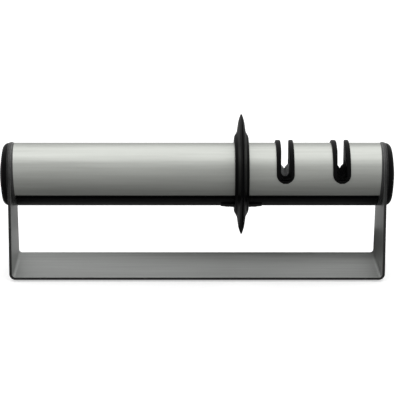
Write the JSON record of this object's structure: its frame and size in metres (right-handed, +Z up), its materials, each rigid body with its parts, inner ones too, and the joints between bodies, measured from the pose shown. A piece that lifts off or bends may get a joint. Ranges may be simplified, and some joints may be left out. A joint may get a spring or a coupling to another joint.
{
  "type": "pull through knife sharpener",
  "caption": "Bench knife sharpener: brushed steel tube with a black disc finger guard and blade slots over crossing rollers, held by the ears of a bent steel strap.",
  "frame": {"origin": "centre of the footprint, on the plane that the rubber feet stand on", "axes": "+X along the barrel towards the head with the blade slots, +Z up, -Y faces the user in the picture"},
  "size_m": [0.265, 0.0808, 0.1078],
  "materials": {
    "strap_steel": "satin, brushed along the strap",
    "sleeve_steel": "satin, brushed along the tube",
    "ring_steel": "turned",
    "screw_steel": "zinc plated",
    "axle_steel": "ground",
    "coarse_abrasive": "fine toothed grit",
    "fine_abrasive": "dark fine grained ceramic",
    "insert_brass": "turned",
    "black_plastic": "black moulded, satin sheen",
    "liner_plastic": "black moulded, satin sheen",
    "inner_plastic": "black moulded, plain",
    "foot_rubber": "matt"
  },
  "bodies": {
    "stand_and_barrel": {"base_bracket": "strap_steel", "foot_front_left": "foot_rubber", "foot_front_right": "foot_rubber", "foot_rear_left": "foot_rubber", "foot_rear_right": "foot_rubber", "steel_sleeve": "sleeve_steel", "chassis": "inner_plastic", "bottom_rail": "black_plastic", "finger_guard": "black_plastic", "left_flange": "black_plastic", "right_flange": "black_plastic", "left_insert": "insert_brass", "right_insert": "insert_brass", "left_end_screw": "screw_steel", "right_end_screw": "screw_steel", "left_cap_ring": "ring_steel", "right_cap_ring": "ring_steel", "left_cap": "black_plastic", "right_cap": "black_plastic", "coarse_slot_liner": "liner_plastic", "coarse_cartridge": "inner_plastic", "coarse_cover": "inner_plastic", "coarse_cover_screws": "screw_steel", "coarse_left_axle": "axle_steel", "coarse_right_axle": "axle_steel", "fine_slot_liner": "liner_plastic", "fine_cartridge": "inner_plastic", "fine_cover": "inner_plastic", "fine_cover_screws": "screw_steel", "fine_left_axle": "axle_steel", "fine_right_axle": "axle_steel", "rail_screws": "screw_steel", "guard_screws": "screw_steel"},
    "coarse_left": {"coarse_left_roller": "coarse_abrasive"},
    "coarse_right": {"coarse_right_roller": "coarse_abrasive"},
    "fine_left": {"fine_left_roller": "fine_abrasive"},
    "fine_right": {"fine_right_roller": "fine_abrasive"}
  },
  "joints": [
    {"name": "coarse_left_spin", "type": "hinge", "parent": "stand_and_barrel", "child": "coarse_left", "pos_m": [0.0526, 0.00021, 0.0696], "axis": [0, 0.9954, -0.0958], "continuous": true},
    {"name": "coarse_right_spin", "type": "hinge", "parent": "stand_and_barrel", "child": "coarse_right", "pos_m": [0.0646, 0.00021, 0.0696], "axis": [0, 0.9954, -0.0958], "continuous": true},
    {"name": "fine_left_spin", "type": "hinge", "parent": "stand_and_barrel", "child": "fine_left", "pos_m": [0.09, 0.00021, 0.0696], "axis": [0, 0.9954, -0.0958], "continuous": true},
    {"name": "fine_right_spin", "type": "hinge", "parent": "stand_and_barrel", "child": "fine_right", "pos_m": [0.102, 0.00021, 0.0696], "axis": [0, 0.9954, -0.0958], "continuous": true}
  ]
}
